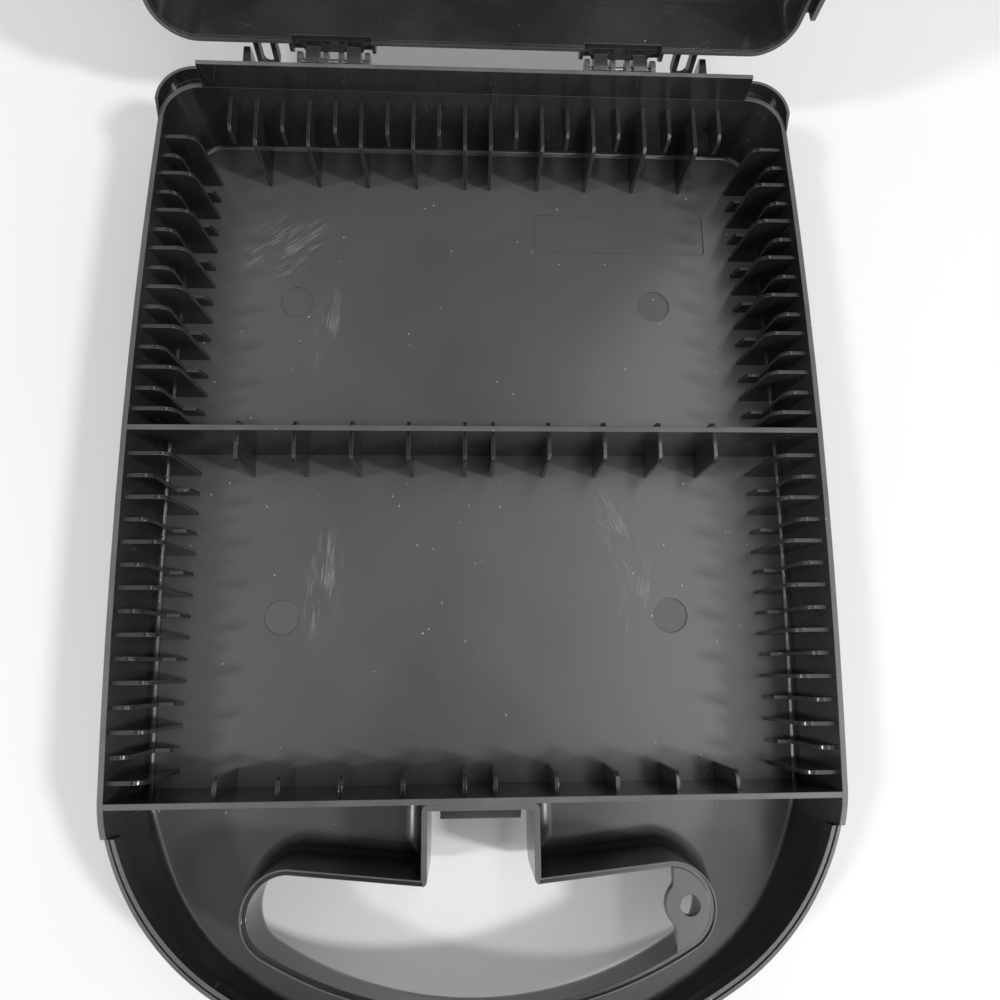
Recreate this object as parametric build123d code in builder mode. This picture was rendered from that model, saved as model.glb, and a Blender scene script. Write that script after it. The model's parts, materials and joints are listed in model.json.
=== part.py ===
from build123d import *

import os
from math import asin, atan2, cos, degrees, radians, sin, tan

# A carrying case for small parts: an open tray with comb ribs for loose dividers, and a lid that
# swings on two pinned hinges and is held shut by a latch. The frame has +Z up and +Y towards the
# hinges. The origin is on the surface that the case rests on, under the middle of the centre
# divider. The lid stands open. Millimetres and degrees.

# Case outline at the rim, seen from above, symmetric about X = 0
SIDE_HALF_WIDTH = 113.4
SIDE_WIDEST_Y = 13.0
SIDE_RADIUS = 2300.0
BACK_Y = 126.6
BACK_CORNER_RADIUS = 14.0
FRONT_CORNER_Y = -111.5
FRONT_CORNER_RADIUS = 45.0
FRONT_CORNER_HEADING = 18.6
SHOULDER_RADIUS = 78.6
SHOULDER_HEADING = 58.5

# Tray
RIM_Z = 32.0
FLOOR_Z = 2.2
WALL = 1.65
DRAFT = 3.0
TRAY_EDGE_RADIUS = 5.5
TRAY_INNER_RADIUS = 2.0
TRAY_CHANNEL_RADIUS = 6.5
SLOPE_START_Y = -118.0
SLOPE_BLEND = 23.0
SLOPE_ANGLE = 17.0

# Stepped rim around the handle
STEP_Y = -122.4
STEP_DEPTH = 1.1
STEP_HEIGHT = 4.0
BAND_WIDTH = 2.6
BAND_HEIGHT = 5.6
GROOVE_INSET = 2.1
GROOVE_WIDTH = 0.5
GROOVE_DEPTH = 0.8

# Handle opening, with a notch for the latch in its rear edge
OPENING_CAP_X = 55.5
OPENING_CAP_RADIUS = 10.75
OPENING_FRONT_Y = -169.05
OPENING_FRONT_RADIUS = 123.65
OPENING_REAR_Y = -136.95
OPENING_EDGE_RADIUS = 8.5
OPENING_WALL = 1.75
OPENING_LEDGE_WIDTH = 1.3
NOTCH_HALF_WIDTH = 15.5
NOTCH_CORNER_RADIUS = 1.6

# Walls across the tray
CROSS_WALL = 1.7
FRONT_WALL_Y = -113.8

# Comb ribs along the sides
RIB_THICKNESS = 1.2
SIDE_RIB_PITCH = 7.12
SIDE_RIB_COUNT = 15
REAR_RIBS_MID_Y = 56.8
FRONT_RIBS_MID_Y = -57.8
TALL_RIB_TOP = 2.2
TALL_RIB_HEAD_X = 98.2
RIB_FOOT_X = 97.3
TALL_RIB_RADIUS = 4.0
LOW_RIB_TOP = 2.6
LOW_RIB_HEAD_X = 103.2
LOW_RIB_RADIUS = 3.5
LOW_RIB_LEDGE_X = 99.1
LOW_RIB_LEDGE_Z = 8.6
LOW_RIB_CHAMFER = 1.7

# Comb ribs on the walls that run across
CROSS_RIB_FIRST_X = 4.66
CROSS_RIB_PITCH = 18.65
CROSS_RIB_COUNT = 5
BACK_RIB_TOP = 5.0
BACK_RIB_Y = 106.3
SHORT_RIB_Y = 112.1
SHORT_RIB_BOTTOM = 15.0
DIVIDER_RIB_TOP = 6.3
DIVIDER_RIB_FRONT_Y = -9.0
DIVIDER_RIB_REAR_Y = 5.0
FRONT_WALL_RIB_TOP = 7.0
FRONT_WALL_RIB_Y = -107.1
CROSS_RIB_RADIUS = 2.8

# Raised lip behind the rear compartment
LIP_HALF_LENGTH = 96.9
LIP_END_TAPER = 1.8
LIP_HEIGHT = 13.0
LIP_FOOT_THICKNESS = 1.65
LIP_TOP_THICKNESS = 1.5
LIP_LEAN = 2.1

# Guards around the back corners
GUARD_SIDE_OUTSET = 0.8
GUARD_BACK_OUTSET = 3.6
GUARD_CORNER_RADIUS = 12.2
GUARD_WALL = 1.0
GUARD_HEIGHT = 2.8
GUARD_LEDGE_TOP = 2.0
GUARD_BOTTOM = 3.8
GUARD_START_X = 97.2
GUARD_END = (111.3, 112.0)
GUARD_BEND = (111.85, 118.0)

# Hinges
HINGE_Y = 136.5
HINGE_X = 51.3
HINGE_RADIUS = 3.2
PIN_RADIUS = 1.0
PIN_CLEARANCE = 0.05
PIN_LENGTH = 25.6
EAR_THICKNESS = 1.7
OUTER_EAR_X = 11.9
INNER_EAR_X = 2.7
EAR_TOP = 0.5
EAR_BOTTOM = 12.0
BARREL_X = 7.2
BARREL_LENGTH = 5.0
LEAF_HALF_WIDTH = 13.6
LEAF_END_HALF_WIDTH = 10.1
LEAF_KNEE_Y = 133.0
LEAF_END_Y = 135.4
LEAF_ROOT_Z = 2.0
LEAF_Z = 3.6
LEAF_THICKNESS = 2.2
WEB_END_Y = 134.6
WEB_LIFT = 0.6
CHEEK_X = 14.4
CHEEK_THICKNESS = 1.3
CHEEK_REACH = 5.0
CHEEK_LOW = 1.0
CHEEK_HIGH = 8.0
CHEEK_RADIUS = 2.0
EAR_CORNER_ANGLE = 45.0
LID_NOTCH_HALF_WIDTH = 13.8
OPEN_ANGLE = 98.0

# Lid, as it lies on the tray when it is closed
PARTING_GAP = 0.1
LID_DEPTH = 30.0
LID_THICKNESS = 2.0
LID_WALL = 1.9
LID_INSET = 0.6
LID_BACK_Y = 129.6
LID_CORNER_RADIUS = 14.0
LID_EDGE_RADIUS = 7.0
LID_INNER_RADIUS = 6.0
LID_CHANNEL_RADIUS = 5.5
LID_RIM_STEP_WIDTH = 0.5
LID_RIM_STEP_DEPTH = 0.7
SKIRT_GAP = 0.35
SKIRT_THICKNESS = 1.65
SKIRT_DEPTH = 3.3
SKIRT_TOP = 2.0
SKIRT_BACK_Y = 112.6
SKIRT_FRONT_Y = -121.9
HANDLE_SKIRT_Y = -123.0
HANDLE_SKIRT_DEPTH = 2.5
HANDLE_SKIRT_TOP = 1.2
HANDLE_SKIRT_INSET = 0.8
HANDLE_SKIRT_OUTSET = 0.6

# Feet behind the hinges, for standing the case on its back
FOOT_END_Y = 144.3
TRAY_FOOT_X = 84.0
TRAY_FOOT_ROOT = 5.0
TRAY_FOOT_TIP = 2.0
TRAY_FOOT_LOW = 24.0
TRAY_FOOT_HIGH = 1.0
LID_FOOT_X = 75.6
LID_FOOT_WIDTH = 7.8
LID_FOOT_LOW = 3.5
LID_FOOT_HIGH = 7.5
LID_FOOT_WALL = 1.8

# Padlock tabs in the right end of the handle opening
TAB_HOLE_X = 60.4
TAB_HOLE_Y = -143.3
TAB_HOLE_RADIUS = 2.9
TAB_LOBE_RADIUS = 7.25
TAB_EDGE_X = 55.8
TAB_NECK_RADIUS = 2.5
TAB_THICKNESS = 2.4
TAB_GAP = 0.3

# Latch in the notch of the handle opening
LATCH_Y = -123.6
LATCH_Z = 10.0
LATCH_HALF_WIDTH = 13.4
LATCH_THICKNESS = 2.4
LATCH_KNUCKLE_RADIUS = 3.0
LATCH_HOOK_Z = -9.6
LATCH_HOOK_Y = -117.6
LATCH_HOOK_THICKNESS = 2.2
LATCH_GRIP_REACH = 5.0
LATCH_SWING = 35.0
LUG_RADIUS = 3.6
LUG_FACE_X = 13.8
KEEPER_HALF_WIDTH = 12.0
KEEPER_REACH = 3.2
KEEPER_LOW = -9.0
KEEPER_HIGH = -6.0
KEEPER_CHAMFER = 0.6

# Marks moulded into the tray floor
FLOOR_MARK_SPACING = (134.0, 116.6)
FLOOR_MARK_RADIUS = 6.0
PANEL_CENTRE = (55.0, 88.2)
PANEL_SIZE = (66.0, 15.8)
MARK_DEPTH = 0.4

# Lengths that reach past whatever they cut, and how steep a face that looks up or down may be
MARGIN = 30.0
FRONT_LIMIT_Y = -230.0
FACING_LIMIT = 0.7
QUARTER_TURN = radians(90)

# Places worked out from the dimensions above
FRONT_WALL_FACE_Y = FRONT_WALL_Y - CROSS_WALL / 2
NOTCH_Y = FRONT_WALL_FACE_Y - OPENING_WALL
LID_Z = RIM_Z + PARTING_GAP
LID_TOP_Z = RIM_Z + LID_DEPTH
LATCH_AXIS_Z = RIM_Z + LATCH_Z
HINGE_AXIS = Axis((0, HINGE_Y, RIM_Z), (1, 0, 0))
LATCH_AXIS = Axis((0, LATCH_Y, LATCH_AXIS_Z), (1, 0, 0))
BORE_RADIUS = PIN_RADIUS + PIN_CLEARANCE
LEAF_ROOT_Y = LID_BACK_Y - LID_WALL
LEAF_TOP = LEAF_Z + LEAF_THICKNESS
OPENING_END_X = OPENING_CAP_X + OPENING_CAP_RADIUS
LEAF_ANGLE = degrees(atan2(LEAF_END_Y - LEAF_ROOT_Y, LEAF_HALF_WIDTH - LEAF_END_HALF_WIDTH))
LID_PANEL_Z = LID_TOP_Z - LID_THICKNESS

os.makedirs("parts", exist_ok=True)


def heading(angle):
    """The direction at an angle from -Y towards -X."""
    return (-sin(angle), -cos(angle))


def arc_end(start, radius, from_angle, to_angle):
    """Where an arc ends that leaves a point at one heading and turns to another."""
    return (
        start[0] + radius * (cos(to_angle) - cos(from_angle)),
        start[1] - radius * (sin(to_angle) - sin(from_angle)),
    )


def outline(inset=0.0, back_y=BACK_Y, corner_radius=BACK_CORNER_RADIUS):
    """The case seen from above, drawn in by inset, as a face at z = 0."""
    back_lean = asin((back_y - SIDE_WIDEST_Y - corner_radius) / (SIDE_RADIUS - corner_radius))
    corner_x = SIDE_HALF_WIDTH - corner_radius
    corner_x -= (SIDE_RADIUS - corner_radius) * (1 - cos(back_lean))
    side_back = (
        corner_x + corner_radius * cos(back_lean),
        back_y - corner_radius * (1 - sin(back_lean)),
    )
    front_lean = asin((SIDE_WIDEST_Y - FRONT_CORNER_Y) / SIDE_RADIUS)
    corner_turn = radians(FRONT_CORNER_HEADING)
    shoulder_turn = radians(SHOULDER_HEADING)
    side_front = (SIDE_HALF_WIDTH - SIDE_RADIUS * (1 - cos(front_lean)), FRONT_CORNER_Y)
    shoulder = arc_end(side_front, FRONT_CORNER_RADIUS, front_lean, corner_turn)
    bar = arc_end(shoulder, SHOULDER_RADIUS, corner_turn, shoulder_turn)
    bar_radius = bar[0] / cos(shoulder_turn)
    bar_middle = arc_end(bar, bar_radius, shoulder_turn, QUARTER_TURN)

    with BuildSketch(mode=Mode.PRIVATE) as sketch:
        with BuildLine():
            Line((0, back_y), (corner_x, back_y))
            TangentArc((corner_x, back_y), side_back, tangent=(1, 0))
            TangentArc(side_back, side_front, tangent=heading(-back_lean))
            TangentArc(side_front, shoulder, tangent=heading(front_lean))
            TangentArc(shoulder, bar, tangent=heading(corner_turn))
            TangentArc(bar, bar_middle, tangent=heading(shoulder_turn))
            mirror(about=Plane.YZ)
        make_face()
        if inset:
            offset(amount=-inset, mode=Mode.REPLACE)
    return sketch.sketch


def lid_outline(inset=0.0):
    """The closed lid seen from above, drawn in by inset, as a face at z = 0."""
    return outline(LID_INSET + inset, LID_BACK_Y + LID_INSET, LID_CORNER_RADIUS + LID_INSET)


def guard_outline(inset=0.0):
    """The outer line of the corner guards, drawn in by inset, as a face at z = 0."""
    return outline(
        inset - GUARD_SIDE_OUTSET, BACK_Y + GUARD_BACK_OUTSET, GUARD_CORNER_RADIUS
    )


def rim_strip(outer_inset, inner_inset, near_y, far_y):
    """The strip between two insets of the case outline, from near_y back to far_y."""
    with BuildSketch(mode=Mode.PRIVATE) as sketch:
        add(outline(outer_inset))
        add(outline(inner_inset), mode=Mode.SUBTRACT)
        with Locations((0, (near_y + far_y) / 2)):
            Rectangle(4 * SIDE_HALF_WIDTH, far_y - near_y, mode=Mode.INTERSECT)
    return sketch.sketch


def opening(grow=0.0):
    """The handle opening and its notch seen from above, grown by grow, at z = 0."""
    reach = OPENING_FRONT_RADIUS - OPENING_CAP_RADIUS
    lean = asin(OPENING_CAP_X / reach)
    cap_y = OPENING_FRONT_Y + OPENING_FRONT_RADIUS - reach * cos(lean)
    cap_rear = (OPENING_CAP_X, cap_y + OPENING_CAP_RADIUS)
    cap_side = (OPENING_CAP_X + OPENING_CAP_RADIUS, cap_y)
    cap_front = (
        OPENING_CAP_X + OPENING_CAP_RADIUS * sin(lean),
        cap_y - OPENING_CAP_RADIUS * cos(lean),
    )
    with BuildSketch(mode=Mode.PRIVATE) as sketch:
        with BuildLine():
            Polyline(
                (0, NOTCH_Y),
                (NOTCH_HALF_WIDTH, NOTCH_Y),
                (NOTCH_HALF_WIDTH, OPENING_REAR_Y),
                cap_rear,
            )
            ThreePointArc(cap_rear, cap_side, cap_front)
            TangentArc(cap_front, (0, OPENING_FRONT_Y), tangent=heading(QUARTER_TURN - lean))
            mirror(about=Plane.YZ)
        make_face()
        if grow:
            offset(amount=grow, mode=Mode.REPLACE)
    return sketch.sketch


def opening_ledge():
    """The strip next to the handle opening, without the notch's walls, as a face at z = 0."""
    with BuildSketch(mode=Mode.PRIVATE) as sketch:
        add(opening(OPENING_LEDGE_WIDTH))
        add(opening(), mode=Mode.SUBTRACT)
        with Locations((0, OPENING_REAR_Y - OPENING_LEDGE_WIDTH)):
            Rectangle(
                2 * (NOTCH_HALF_WIDTH + OPENING_LEDGE_WIDTH),
                MARGIN,
                align=(Align.CENTER, Align.MIN),
                mode=Mode.SUBTRACT,
            )
    return sketch.sketch


def under_handle(lift=0.0):
    """The space under the handle's rising underside, lifted by lift."""
    blend_y = SLOPE_START_Y - SLOPE_BLEND
    blend_z = lift + SLOPE_BLEND * tan(radians(SLOPE_ANGLE) / 2)
    end_z = blend_z + (blend_y - FRONT_LIMIT_Y) * tan(radians(SLOPE_ANGLE))
    with BuildPart() as space:
        with BuildSketch(Plane.YZ):
            with BuildLine():
                TangentArc((SLOPE_START_Y, lift), (blend_y, blend_z), tangent=(-1, 0))
                Polyline(
                    (blend_y, blend_z),
                    (FRONT_LIMIT_Y, end_z),
                    (FRONT_LIMIT_Y, -MARGIN),
                    (SLOPE_START_Y, -MARGIN),
                    (SLOPE_START_Y, lift),
                )
            make_face()
        extrude(amount=SIDE_HALF_WIDTH + MARGIN, both=True)
    return space.part


def edges_around(faces):
    """The edges around a group of joined faces, without those between them."""
    edges = faces.edges()
    return edges.filter_by(lambda edge: sum(edge.is_same(other) for other in edges) == 1)


def beside_opening(edges):
    """Of some edges, those that run along the handle opening or its wall."""
    reach = 2 * OPENING_WALL
    near = edges.filter_by_position(Axis.Y, OPENING_FRONT_Y - reach, NOTCH_Y + reach)
    return near.filter_by_position(Axis.X, -OPENING_END_X - reach, OPENING_END_X + reach)


def facing(builder, direction):
    """The faces that look mostly up, for a direction of 1, or mostly down, for -1."""
    return builder.faces().filter_by(lambda face: face.normal_at().Z * direction > FACING_LIMIT)


def round_opening(shell, direction):
    """Round the outer edge of the handle opening, and the corners beside its notch."""
    edges = beside_opening(edges_around(facing(shell, direction)))
    fillet(
        edges.filter_by_position(
            Axis.Y, OPENING_FRONT_Y - MARGIN, OPENING_REAR_Y + OPENING_EDGE_RADIUS
        ),
        OPENING_EDGE_RADIUS,
    )
    corners = shell.edges().filter_by(Axis.Z)
    fillet(
        corners.filter_by_position(Axis.Y, OPENING_REAR_Y - WALL, OPENING_REAR_Y + WALL),
        NOTCH_CORNER_RADIUS,
    )


def slice_of(shell, near_y, far_y, low_z, high_z):
    """The part of a shell between two places along Y and two heights."""
    with BuildPart() as piece:
        add(shell)
        with Locations((0, near_y, low_z)):
            Box(
                4 * SIDE_HALF_WIDTH,
                far_y - near_y,
                high_z - low_z,
                align=(Align.CENTER, Align.MIN, Align.MIN),
                mode=Mode.INTERSECT,
            )
    return piece.part


def leaf_profile(lift, end_y):
    """A hinge leaf seen from the side, with its underside lifted by lift."""
    with BuildSketch(mode=Mode.PRIVATE) as sketch:
        with BuildLine():
            Polyline(
                (LEAF_ROOT_Y, RIM_Z + LEAF_ROOT_Z + lift),
                (LID_BACK_Y, RIM_Z + LEAF_ROOT_Z + lift),
                (LEAF_KNEE_Y, RIM_Z + LEAF_Z + lift),
                (end_y, RIM_Z + LEAF_Z + lift),
                (end_y, RIM_Z + LEAF_TOP),
                (LEAF_ROOT_Y, RIM_Z + LEAF_TOP),
                close=True,
            )
        make_face()
    return sketch.sketch


def opened(part):
    """A part of the closed lid, swung open on the hinges."""
    swung = part.rotate(HINGE_AXIS, -OPEN_ANGLE)
    swung.label = part.label
    return swung


# The tray as a solid block, and the space inside it
tray_relief = under_handle()
cavity_relief = under_handle(FLOOR_Z)

with BuildPart() as tray_block:
    with BuildSketch(Plane.XY.offset(RIM_Z)):
        add(outline())
    extrude(amount=-RIM_Z, taper=DRAFT)
    add(tray_relief, mode=Mode.SUBTRACT)
    fillet(edges_around(facing(tray_block, -1)), TRAY_EDGE_RADIUS)

with BuildPart() as cavity:
    with BuildSketch(Plane.XY.offset(RIM_Z)):
        add(outline(WALL))
    extrude(amount=FLOOR_Z - RIM_Z, taper=DRAFT)
    add(cavity_relief, mode=Mode.SUBTRACT)
    with BuildSketch():
        add(opening(OPENING_WALL))
    extrude(amount=RIM_Z, mode=Mode.SUBTRACT)
    floor_edges = edges_around(facing(cavity, -1))
    fillet(floor_edges - beside_opening(floor_edges), TRAY_INNER_RADIUS)
    fillet(beside_opening(edges_around(facing(cavity, -1))), TRAY_CHANNEL_RADIUS)

# The lid as a solid block, and the space inside it
lid_relief = mirror(under_handle(), about=Plane.XY.offset(LID_TOP_Z / 2))
lid_cavity_relief = mirror(under_handle(LID_THICKNESS), about=Plane.XY.offset(LID_TOP_Z / 2))

with BuildPart() as lid_block:
    with BuildSketch(Plane.XY.offset(LID_Z)):
        add(lid_outline())
    extrude(amount=LID_TOP_Z - LID_Z, taper=DRAFT)
    add(lid_relief, mode=Mode.SUBTRACT)
    fillet(edges_around(facing(lid_block, 1)), LID_EDGE_RADIUS)

with BuildPart() as lid_cavity:
    with BuildSketch(Plane.XY.offset(LID_Z)):
        add(lid_outline(LID_WALL))
    extrude(amount=LID_PANEL_Z - LID_Z, taper=DRAFT)
    add(lid_cavity_relief, mode=Mode.SUBTRACT)
    with BuildSketch(Plane.XY.offset(RIM_Z)):
        add(opening(OPENING_WALL))
    extrude(amount=LID_DEPTH, mode=Mode.SUBTRACT)
    top_edges = edges_around(facing(lid_cavity, 1))
    fillet(top_edges - beside_opening(top_edges), LID_INNER_RADIUS)
    fillet(beside_opening(edges_around(facing(lid_cavity, 1))), LID_CHANNEL_RADIUS)

# Tray shell, with a hollow handle bar around the opening
with BuildPart() as tray_shell:
    add(tray_block.part)
    with BuildSketch():
        add(opening())
    extrude(amount=RIM_Z, mode=Mode.SUBTRACT)
    round_opening(tray_shell, -1)
    add(cavity.part, mode=Mode.SUBTRACT)

    # A thicker rim around the handle with a groove, and a rim with a ledge around the opening
    with BuildSketch(Plane.XY.offset(RIM_Z)):
        add(rim_strip(STEP_DEPTH, STEP_DEPTH + BAND_WIDTH, FRONT_LIMIT_Y, STEP_Y))
    extrude(amount=-BAND_HEIGHT)
    with BuildSketch(Plane.XY.offset(RIM_Z)):
        add(rim_strip(-MARGIN, STEP_DEPTH, FRONT_LIMIT_Y, STEP_Y))
    extrude(amount=-STEP_HEIGHT, mode=Mode.SUBTRACT)
    with BuildSketch(Plane.XY.offset(RIM_Z)):
        add(rim_strip(GROOVE_INSET, GROOVE_INSET + GROOVE_WIDTH, FRONT_LIMIT_Y, STEP_Y))
        add(opening_ledge())
    extrude(amount=-GROOVE_DEPTH, mode=Mode.SUBTRACT)

    # No fillet of the notch's wall behind the front wall
    with BuildSketch(Plane.XY.offset(FLOOR_Z)):
        with Locations((0, FRONT_WALL_Y)):
            Rectangle(4 * NOTCH_HALF_WIDTH, MARGIN, align=(Align.CENTER, Align.MIN))
    extrude(amount=RIM_Z, mode=Mode.SUBTRACT)

    # Ejector marks and a bare panel, sunk into the floor
    with BuildSketch(Plane.XY.offset(FLOOR_Z)):
        with GridLocations(*FLOOR_MARK_SPACING, 2, 2):
            Circle(FLOOR_MARK_RADIUS)
        with Locations(PANEL_CENTRE):
            RectangleRounded(*PANEL_SIZE, radius=1)
    extrude(amount=-MARK_DEPTH, mode=Mode.SUBTRACT)

tray_floor = slice_of(tray_shell.part, NOTCH_Y, BACK_Y, 0, FLOOR_Z)
tray_floor.label = "tray_floor"
export_step(tray_floor, "parts/tray_floor.step")

tray_walls = slice_of(tray_shell.part, NOTCH_Y, BACK_Y, FLOOR_Z, RIM_Z)
tray_walls.label = "tray_walls"
export_step(tray_walls, "parts/tray_walls.step")

tray_handle = slice_of(tray_shell.part, FRONT_LIMIT_Y, NOTCH_Y, 0, RIM_Z)
tray_handle.label = "tray_handle"
export_step(tray_handle, "parts/tray_handle.step")

# Lip that rises behind the rear compartment and leans in over it
with BuildPart() as back_lip:
    with BuildSketch(Plane.XY.offset(RIM_Z)):
        with Locations((0, BACK_Y)):
            Rectangle(
                2 * LIP_HALF_LENGTH, LIP_FOOT_THICKNESS, align=(Align.CENTER, Align.MAX)
            )
    with BuildSketch(Plane.XY.offset(RIM_Z + LIP_HEIGHT)):
        with Locations((0, BACK_Y - LIP_LEAN)):
            Rectangle(
                2 * (LIP_HALF_LENGTH - LIP_END_TAPER),
                LIP_TOP_THICKNESS,
                align=(Align.CENTER, Align.MAX),
            )
    loft(ruled=True)
back_lip.part.label = "back_lip"
export_step(back_lip.part, "parts/back_lip.step")

# Guards that stand outside the two back corners, each a ledge with a low wall on it
with BuildPart() as corner_guards:
    with BuildSketch(Plane.XY.offset(RIM_Z - GUARD_BOTTOM)):
        add(guard_outline())
    extrude(amount=GUARD_BOTTOM - GUARD_LEDGE_TOP)
    with BuildSketch(Plane.XY.offset(RIM_Z - GUARD_LEDGE_TOP)):
        add(guard_outline())
        add(guard_outline(GUARD_WALL), mode=Mode.SUBTRACT)
    extrude(amount=GUARD_LEDGE_TOP + GUARD_HEIGHT)
    with BuildSketch():
        Rectangle(2 * GUARD_START_X, 4 * BACK_Y)
        with Locations((0, GUARD_END[1])):
            Rectangle(4 * SIDE_HALF_WIDTH, 4 * BACK_Y, align=(Align.CENTER, Align.MAX))
        with BuildLine():
            Polyline(
                GUARD_END,
                GUARD_BEND,
                (GUARD_BEND[0] + MARGIN, GUARD_BEND[1]),
                (GUARD_END[0] + MARGIN, GUARD_END[1]),
                close=True,
            )
        make_face()
        mirror(about=Plane.YZ)
    extrude(amount=2 * RIM_Z, mode=Mode.SUBTRACT)
    with BuildSketch(Plane.YZ):
        with BuildLine():
            Polyline(
                (GUARD_END[1], RIM_Z),
                (GUARD_BEND[1], RIM_Z + GUARD_HEIGHT),
                (GUARD_END[1], RIM_Z + GUARD_HEIGHT),
                close=True,
            )
        make_face()
    extrude(amount=2 * SIDE_HALF_WIDTH, both=True, mode=Mode.SUBTRACT)
    add(tray_block.part, mode=Mode.SUBTRACT)
corner_guards.part.label = "corner_guards"
export_step(corner_guards.part, "parts/corner_guards.step")

# Wall between the two compartments
with BuildPart() as centre_divider:
    with BuildSketch():
        Rectangle(2 * SIDE_HALF_WIDTH, CROSS_WALL)
    extrude(amount=RIM_Z)
    add(cavity.part, mode=Mode.INTERSECT)
centre_divider.part.label = "centre_divider"
export_step(centre_divider.part, "parts/centre_divider.step")

# Wall between the front compartment and the handle
with BuildPart() as front_wall:
    with BuildSketch():
        with Locations((0, FRONT_WALL_Y)):
            Rectangle(2 * SIDE_HALF_WIDTH, CROSS_WALL)
    extrude(amount=RIM_Z)
    add(cavity.part, mode=Mode.INTERSECT)
front_wall.part.label = "front_wall"
export_step(front_wall.part, "parts/front_wall.step")


def tall_side_rib(side):
    """A full-height side rib, seen from the front, for the side at +X or -X."""
    with BuildSketch(mode=Mode.PRIVATE) as sketch:
        with BuildLine():
            FilletPolyline(
                (side * SIDE_HALF_WIDTH, RIM_Z - TALL_RIB_TOP),
                (side * TALL_RIB_HEAD_X, RIM_Z - TALL_RIB_TOP),
                (side * RIB_FOOT_X, 0),
                radius=TALL_RIB_RADIUS,
            )
            Polyline(
                (side * RIB_FOOT_X, 0),
                (side * SIDE_HALF_WIDTH, 0),
                (side * SIDE_HALF_WIDTH, RIM_Z - TALL_RIB_TOP),
            )
        make_face()
    return sketch.sketch


def low_side_rib(side):
    """A side rib set back above a ledge, seen from the front, for the side at +X or -X."""
    with BuildSketch(mode=Mode.PRIVATE) as sketch:
        with BuildLine():
            FilletPolyline(
                (side * SIDE_HALF_WIDTH, RIM_Z - LOW_RIB_TOP),
                (side * LOW_RIB_HEAD_X, RIM_Z - LOW_RIB_TOP),
                (side * LOW_RIB_HEAD_X, LOW_RIB_LEDGE_Z),
                radius=LOW_RIB_RADIUS,
            )
            Polyline(
                (side * LOW_RIB_HEAD_X, LOW_RIB_LEDGE_Z),
                (side * LOW_RIB_LEDGE_X, LOW_RIB_LEDGE_Z),
                (side * TALL_RIB_HEAD_X, LOW_RIB_LEDGE_Z - LOW_RIB_CHAMFER),
                (side * RIB_FOOT_X, 0),
                (side * SIDE_HALF_WIDTH, 0),
                (side * SIDE_HALF_WIDTH, RIM_Z - LOW_RIB_TOP),
            )
        make_face()
    return sketch.sketch


def cross_rib(wall_y, reach_y, top, bottom=RIM_Z):
    """A rib on a wall that runs across, seen from the side; top and bottom lie below the rim."""
    with BuildSketch(mode=Mode.PRIVATE) as sketch:
        with BuildLine():
            Polyline(
                (wall_y, RIM_Z - bottom),
                (wall_y, RIM_Z - top),
                (reach_y, RIM_Z - top),
                (reach_y, RIM_Z - bottom),
                close=True,
            )
        make_face()
        reach_corners = sketch.vertices().sort_by(Axis.X, reverse=reach_y > wall_y)[:2]
        rounded = reach_corners if bottom < RIM_Z else reach_corners.sort_by(Axis.Y)[-1:]
        fillet(rounded, CROSS_RIB_RADIUS)
    return sketch.sketch


def cross_rib_places(first_x):
    """The places along X of the ribs on a wall that runs across, on both sides of the middle."""
    places = [first_x + CROSS_RIB_PITCH * step for step in range(CROSS_RIB_COUNT)]
    return [side * x for side in (-1, 1) for x in places]


# Comb ribs along the sides, tall and low in turn, in two banks on each side
for side_name, side in (("left", -1), ("right", 1)):
    for bank_name, bank_y in (("rear", REAR_RIBS_MID_Y), ("front", FRONT_RIBS_MID_Y)):
        with BuildPart() as side_ribs:
            for index in range(SIDE_RIB_COUNT):
                rib_y = bank_y + SIDE_RIB_PITCH * (index - (SIDE_RIB_COUNT - 1) / 2)
                with BuildSketch(Plane.XZ.offset(-rib_y)):
                    add(low_side_rib(side) if index % 2 else tall_side_rib(side))
                extrude(amount=RIB_THICKNESS / 2, both=True)
            add(cavity.part, mode=Mode.INTERSECT)
        side_ribs.part.label = f"{side_name}_{bank_name}_ribs"
        export_step(side_ribs.part, f"parts/{side_name}_{bank_name}_ribs.step")

# Comb ribs on the back wall, long ones to the floor and short ones between them
with BuildPart() as back_ribs:
    for rib_x in cross_rib_places(CROSS_RIB_FIRST_X):
        with BuildSketch(Plane.YZ.offset(rib_x)):
            add(cross_rib(BACK_Y, BACK_RIB_Y, BACK_RIB_TOP))
        extrude(amount=RIB_THICKNESS / 2, both=True)
    for rib_x in cross_rib_places(CROSS_RIB_FIRST_X + CROSS_RIB_PITCH / 2):
        with BuildSketch(Plane.YZ.offset(rib_x)):
            add(cross_rib(BACK_Y, SHORT_RIB_Y, BACK_RIB_TOP, SHORT_RIB_BOTTOM))
        extrude(amount=RIB_THICKNESS / 2, both=True)
    add(cavity.part, mode=Mode.INTERSECT)
back_ribs.part.label = "back_ribs"
export_step(back_ribs.part, "parts/back_ribs.step")

# Comb ribs on both faces of the centre divider
with BuildPart() as divider_ribs:
    for rib_x in cross_rib_places(CROSS_RIB_FIRST_X):
        for wall_y, reach_y in (
            (-CROSS_WALL / 2, DIVIDER_RIB_FRONT_Y),
            (CROSS_WALL / 2, DIVIDER_RIB_REAR_Y),
        ):
            with BuildSketch(Plane.YZ.offset(rib_x)):
                add(cross_rib(wall_y, reach_y, DIVIDER_RIB_TOP))
            extrude(amount=RIB_THICKNESS / 2, both=True)
    add(cavity.part, mode=Mode.INTERSECT)
divider_ribs.part.label = "divider_ribs"
export_step(divider_ribs.part, "parts/divider_ribs.step")

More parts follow.
